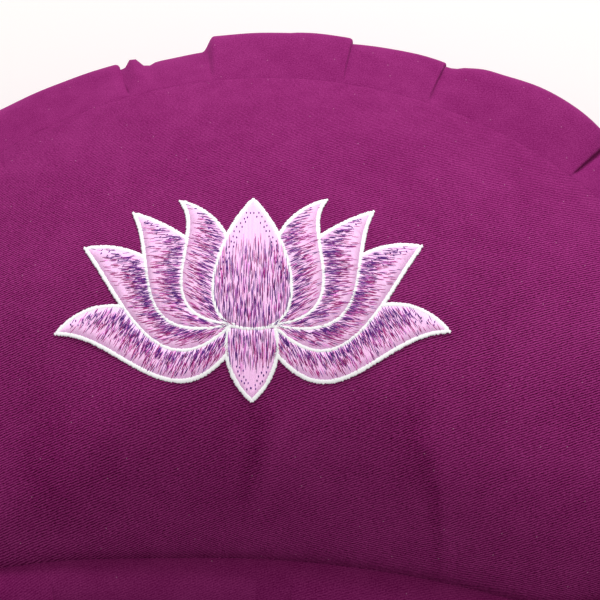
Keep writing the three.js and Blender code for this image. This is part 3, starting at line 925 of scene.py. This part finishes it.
def make_upright_petal(name, petal, finish):
    """The centre or the lower petal: its stitches run along it, from its foot to its tip."""
    chance = np.random.default_rng(petal["seed"])
    threads = Threads()
    edge = outer_edge(petal)
    right = edge(np.linspace(0, 1, 300))
    widest = right[:, 0].max()
    for across in np.arange(-widest, widest, THREAD_SPACING):
        inside = np.flatnonzero(right[:, 0] > abs(across) + EDGE_CLEARANCE)
        if len(inside) < 2:
            continue
        start = np.array([across, right[inside[0], 1]])
        end = np.array([across, right[inside[-1], 1]])
        stitch = norm(end - start)
        if stitch < SHORTEST_UPRIGHT:
            continue
        fill_line(threads, start, end, (1, 1), chance)
        arch = 1 - REACH_ARCH * (across / widest) ** 2
        limit = lerp(petal["root"][1], petal["tip"][1], petal["reach"] * arch)
        limit = (limit - start[1]) / (end[1] - start[1])
        for _ in range(round(stitch * UPRIGHT_STRANDS_PER_MM2 * THREAD_SPACING)):
            share = chance.uniform(0.02, 1)
            shown = smooth((limit - share + 0.02) / REACH_FADE)
            if chance.uniform() > shown * lerp(1, REACH_SHARE, share / limit):
                continue
            # a strand near the foot is short
            room = 1.8 * share * stitch + 0.8
            length = min(chance.uniform(*UPRIGHT_STRAND_LENGTHS), room)
            stray = chance.uniform(-UPRIGHT_STRAY, UPRIGHT_STRAY)
            place = lerp(start, end, share) + (stray, 0)
            violet = lerp(*UPRIGHT_VIOLET_SHARES, share / limit)
            turn = math.radians(90 + chance.normal(0, UPRIGHT_TURN_WANDER))
            strand(threads, place, turn, length, violet, chance)
    upright = np.array([0.0, 1.0])
    for side in (1, -1):
        for share in np.arange(*petal["dots"]):
            place = edge(share) * (side, 1)
            for inward in DOT_INWARD:
                dot(threads, place - (side * inward, 0), upright, chance)
        satin(threads, outer_edge(petal, side)(np.linspace(0, 1, EDGE_POINTS)), chance)
    return threads.petal(name, finish)


# ---- finishes

# Twill: from ridge to ridge, how steeply the ridges rise, and the size of one float of yarn
TWILL_PITCH = 1.04 * MM
TWILL_ANGLE = math.radians(24)
FLOAT_LENGTH = 1.5 * MM
FLOAT_WIDTH = 0.5 * MM
RIDGE_WANDER = 4.5
RIDGE_HEIGHT = 0.9
YARN_HEIGHT = 1.1
WEAVE_DEPTH = 0.1 * MM
# Where the weave grows faint towards the back, and how faint, and the same towards the front
WEAVE_BACK = dict(start=0.0, end=0.11, low=1, high=0.34)
WEAVE_FRONT = dict(start=-0.085, end=-0.035, low=0.70, high=0.88)
# Uneven dye and nap: scale of each noise, how finely it is broken, and how much it counts
UNEVENNESS = [
    dict(scale=110, detail=3, counts=0.2),
    dict(scale=24, detail=1, counts=0.18),
    dict(scale=1500, detail=1, counts=0.7),
]
# Colour of the twill, from the gaps of the weave to the tops of its ridges: painted shade
# in the gaps and a painted highlight on the ridges, over the dye's own plum
TWILL_SHADES = [
    (0.0, (0.045, 0.0003, 0.015, 1)),
    (0.33, (0.182, 0.0050, 0.100, 1)),
    (1.0, (0.450, 0.055, 0.280, 1)),
]
LINT_SCALE = 42
LINT_SIZE = 0.010
LINT_SHOWS = 0.4
LINT_COLOUR = (0.75, 0.45, 0.62, 1)
SHEEN_COLOUR = (1.0, 0.18, 0.75, 1)
# How far to the right of a painted shade line its painted highlight lies, in half widths
PAINTED_LIGHT_PLACE = 1.9
# How much the twist of the embroidery thread shades it
THREAD_TWIST = 0.15


class Nodes:
    """Short ways to add and link a material's nodes."""

    def __init__(self, name):
        self.material = bpy.data.materials.new(name)
        self.material.use_nodes = True
        self.tree = self.material.node_tree
        self.shader = self.tree.nodes["Principled BSDF"]

    def add(self, kind, inputs=None, **settings):
        """A new node with its settings, and its inputs as feed takes them."""
        node = self.tree.nodes.new(kind)
        for key, value in settings.items():
            setattr(node, key, value)
        self.feed(node, inputs or {})
        return node

    def feed(self, node, inputs):
        """Gives inputs of a node, by name or number, a value or the output of another node."""
        for key, value in inputs.items():
            if isinstance(value, bpy.types.NodeSocket):
                self.tree.links.new(value, node.inputs[key])
            else:
                node.inputs[key].default_value = value

    def math(self, operation, *inputs):
        return self.add("ShaderNodeMath", dict(enumerate(inputs)), operation=operation).outputs[0]

    def times(self, a, b):
        return self.math("MULTIPLY", a, b)

    def ramp(self, value, start, end, low=0.0, high=1.0):
        """From low where the value is at start to high at its end, and level past them."""
        inputs = {"Value": value, "From Min": start, "From Max": end, "To Min": low, "To Max": high}
        return self.add("ShaderNodeMapRange", inputs).outputs["Result"]

    def along(self, vector, x, y):
        """How far a vector reaches in a direction of the plane."""
        inputs = {0: vector, 1: (x, y, 0)}
        return self.add("ShaderNodeVectorMath", inputs, operation="DOT_PRODUCT").outputs["Value"]

    def noise(self, vector, scale, detail):
        inputs = {"Vector": vector, "Scale": scale, "Detail": detail}
        return self.add("ShaderNodeTexNoise", inputs).outputs["Fac"]

    def mix(self, factor, a, b, blend="MIX"):
        inputs = {"Factor": factor, "A": a, "B": b}
        node = self.add("ShaderNodeMix", inputs, data_type="RGBA", blend_type=blend)
        return node.outputs["Result"]


def twill_relief(nodes, cloth):
    """Height of the weave: slanting ridges that wander a little, broken into floats of yarn."""
    across = nodes.along(cloth, -math.sin(TWILL_ANGLE), math.cos(TWILL_ANGLE))
    along = nodes.along(cloth, math.cos(TWILL_ANGLE), math.sin(TWILL_ANGLE))
    phase = nodes.times(across, 2 * math.pi / TWILL_PITCH)
    phase = nodes.math("MULTIPLY_ADD", nodes.noise(cloth, 330, 2), RIDGE_WANDER, phase)
    ridge = nodes.math("MULTIPLY_ADD", nodes.math("SINE", phase), 0.5, 0.5)
    along = nodes.math("DIVIDE", along, FLOAT_LENGTH)
    across = nodes.math("DIVIDE", across, FLOAT_WIDTH)
    floats = nodes.add("ShaderNodeCombineXYZ", {"X": along, "Y": across})
    yarn = nodes.noise(floats.outputs["Vector"], 1, 1)
    return nodes.math("MULTIPLY_ADD", yarn, YARN_HEIGHT, nodes.times(ridge, RIDGE_HEIGHT))


def painted_line_shade(nodes, place, shade_line):
    """Painted shade along a line of the cloth, and a painted highlight just to its right,
    fading to the ends of the line.
    """
    (above_x, above_y), (below_x, below_y) = shade_line["above"], shade_line["below"]
    down = nodes.ramp(place.outputs["Y"], above_y * MM, below_y * MM)
    line = nodes.math("MULTIPLY_ADD", down, (below_x - above_x) * MM, above_x * MM)
    aside = nodes.math("SUBTRACT", place.outputs["X"], line)
    aside = nodes.math("DIVIDE", aside, shade_line["width"] * MM)
    shades = []
    # the first term paints shade on the line, the second paints a highlight to its right, by the
    # share named back
    for offset, strength in ((0.0, -1.0), (-PAINTED_LIGHT_PLACE, shade_line["back"])):
        away = nodes.math("ADD", aside, offset)
        square = nodes.times(away, away)
        near = nodes.math("EXPONENT", nodes.times(square, -1.0))
        shades.append(nodes.times(near, strength * shade_line["dark"]))
    shown = nodes.math("SINE", nodes.times(down, math.pi))
    return nodes.times(nodes.math("ADD", *shades), shown)


def twill_colour(nodes, cloth, shade):
    """The twill's colour from its shade, which holds the dye's uneven tone, the weave's painted
    shade and highlight and the painted shade lines, with a speck of stray lint here and there.
    """
    ramp = nodes.add("ShaderNodeValToRGB", {"Fac": shade})
    stops = ramp.color_ramp.elements
    for stop, (position, colour) in zip(stops, (TWILL_SHADES[0], TWILL_SHADES[-1])):
        stop.position = position
        stop.color = colour
    for position, colour in TWILL_SHADES[1:-1]:
        stops.new(position).color = colour
    inputs = {"Vector": cloth, "Scale": LINT_SCALE}
    specks = nodes.add("ShaderNodeTexVoronoi", inputs, voronoi_dimensions="2D")
    lint = nodes.math("LESS_THAN", specks.outputs["Distance"], LINT_SIZE)
    return nodes.mix(nodes.times(lint, LINT_SHOWS), ramp.outputs["Color"], LINT_COLOUR)


def plum_twill(name, weave, sheen, painted_lines=()):
    """Cotton twill: fine ridges rising to the right, uneven dye, stray lint and a soft sheen, with
    painted shade in the weave's gaps and a painted highlight on its ridges.

    weave is how clearly the ridges show, in bump and in painted shade, from 0 to 1; sheen is
    the nap's brightness where the cloth turns away; painted_lines are the lines along which
    shade and light are painted into its colour."""
    nodes = Nodes(name)
    cloth = nodes.add("ShaderNodeUVMap", uv_map="cloth").outputs["UV"]
    place = nodes.add("ShaderNodeTexCoord").outputs["Object"]
    place = nodes.add("ShaderNodeSeparateXYZ", {"Vector": place})
    relief = twill_relief(nodes, cloth)
    back = nodes.ramp(place.outputs["Y"], **WEAVE_BACK)
    front = nodes.ramp(place.outputs["Y"], **WEAVE_FRONT)
    clear = nodes.times(nodes.times(back, front), weave)
    # the weave's height is painted into the colour: painted shade in its gaps, painted highlight on
    # its ridges
    shade = nodes.math("MULTIPLY_ADD", nodes.math("SUBTRACT", relief, 1.0), clear, 0.5)
    for uneven in UNEVENNESS:
        noise = nodes.noise(cloth, uneven["scale"], uneven["detail"])
        shade = nodes.math(
            "MULTIPLY_ADD", nodes.math("SUBTRACT", noise, 0.5), uneven["counts"], shade)
    # painted shade and painted light along the given lines
    for shade_line in painted_lines:
        shade = nodes.math("ADD", shade, painted_line_shade(nodes, place, shade_line))
    inputs = {"Strength": 0.6 * weave, "Distance": WEAVE_DEPTH, "Height": relief}
    nodes.feed(nodes.shader, {
        "Base Color": twill_colour(nodes, cloth, shade),
        "Normal": nodes.add("ShaderNodeBump", inputs).outputs["Normal"],
        "Roughness": 0.85,
        "Specular IOR Level": 0.04,
        "Sheen Weight": sheen,
        "Sheen Roughness": 0.3,
        "Sheen Tint": SHEEN_COLOUR,
    })
    return nodes.material


def embroidery_thread():
    """Lustrous embroidery thread in the colour that each strand carries, glowing with
    painted light in that colour.
    """
    nodes = Nodes("embroidery thread")
    dye = nodes.add("ShaderNodeAttribute", attribute_name="thread").outputs["Color"]
    place = nodes.add("ShaderNodeTexCoord").outputs["Object"]
    colour = nodes.mix(THREAD_TWIST, dye, nodes.noise(place, 2600, 2), "MULTIPLY")
    nodes.feed(nodes.shader, {
        "Base Color": colour,
        "Roughness": 0.45,
        "Specular IOR Level": 0.2,
        # painted light: the thread glows in its own colour, the more the lighter it is dyed
        "Emission Color": nodes.mix(1, colour, colour, "MULTIPLY"),
        "Emission Strength": 0.32,
    })
    return nodes.material


# ---- camera, floor and light

# The middle of the cushion, from which the camera and the lights are placed
CENTRE = Vector((-0.0002, 0.0006, 0.0682))
CAMERA_AZIMUTH = math.radians(3)
CAMERA_ELEVATION = math.radians(70)
CAMERA_DISTANCE = 0.9
CAMERA_TARGET = CENTRE + Vector((0.0097, 0.0050, 0.0320))
LENS = 119.6

LIGHTS = [
    # name, place from the cushion's middle, size across, power, colour
    ("window behind", (0.12, 1.75, 1.00), 1.1, 37, (1.0, 0.99, 0.99)),
    ("soft box above", (0.0, 0.1, 1.70), 1.6, 5.5, (1.0, 0.97, 0.86)),
]
ROOM_LIGHT = 0.285
ROOM_COLOUR = (1.0, 0.98, 0.92, 1)
FLOOR_SIZE = 6
FLOOR_DROP = 0.0005
FLOOR_GLOW = 0.13


def aim(thing, target):
    thing.rotation_euler = (Vector(target) - thing.location).to_track_quat("-Z", "Y").to_euler()


def make_camera():
    camera = new_object("camera", bpy.data.cameras.new("camera"))
    back = Vector((
        math.sin(CAMERA_AZIMUTH) * math.cos(CAMERA_ELEVATION),
        -math.cos(CAMERA_AZIMUTH) * math.cos(CAMERA_ELEVATION),
        math.sin(CAMERA_ELEVATION),
    ))
    camera.location = CAMERA_TARGET + back * CAMERA_DISTANCE
    camera.data.lens = LENS
    aim(camera, CAMERA_TARGET)
    bpy.context.scene.camera = camera
    bpy.context.scene.view_settings.view_transform = "Standard"


def make_lights():
    for name, place, size, power, colour in LIGHTS:
        light = new_object(name, bpy.data.lights.new(name, "AREA"))
        light.location = CENTRE + Vector(place)
        light.data.size = size
        light.data.energy = power
        light.data.color = colour
        aim(light, CENTRE)
    world = bpy.data.worlds.new("room")
    world.use_nodes = True
    background = world.node_tree.nodes["Background"]
    background.inputs["Color"].default_value = ROOM_COLOUR
    background.inputs["Strength"].default_value = ROOM_LIGHT
    bpy.context.scene.world = world


def make_floor():
    bpy.ops.object.select_all(action="DESELECT")
    bpy.ops.mesh.primitive_plane_add(
        size=FLOOR_SIZE, location=(0, 0, CAD_BOX[0][2] - FLOOR_DROP))
    floor = bpy.context.object
    floor.name = "floor"
    nodes = Nodes("pale floor")
    nodes.feed(nodes.shader, {
        "Base Color": (0.94, 0.94, 0.94, 1),
        "Roughness": 0.8,
        "Emission Color": (1.0, 1.0, 1.0, 1),
        "Emission Strength": FLOOR_GLOW,
    })
    floor.data.materials.append(nodes.material)


# ---- assembly

make_camera()
twill = plum_twill("plum twill", 1.0, 0.05, PAINTED_SHADE_LINES)
side_twill = plum_twill("plum twill, sides", 0.3, 0.42)
thread = embroidery_thread()
top = make_top_panel(twill)
body = make_body(side_twill)
bottom = make_bottom_panel(side_twill)
petals = [make_side_petal(k, side, thread) for k in range(len(SIDE_PETALS)) for side in (1, -1)]
petals.append(make_upright_petal("centre", CENTRE_PETAL, thread))
petals.append(make_upright_petal("lower", LOWER_PETAL, thread))

make_floor()
make_lights()
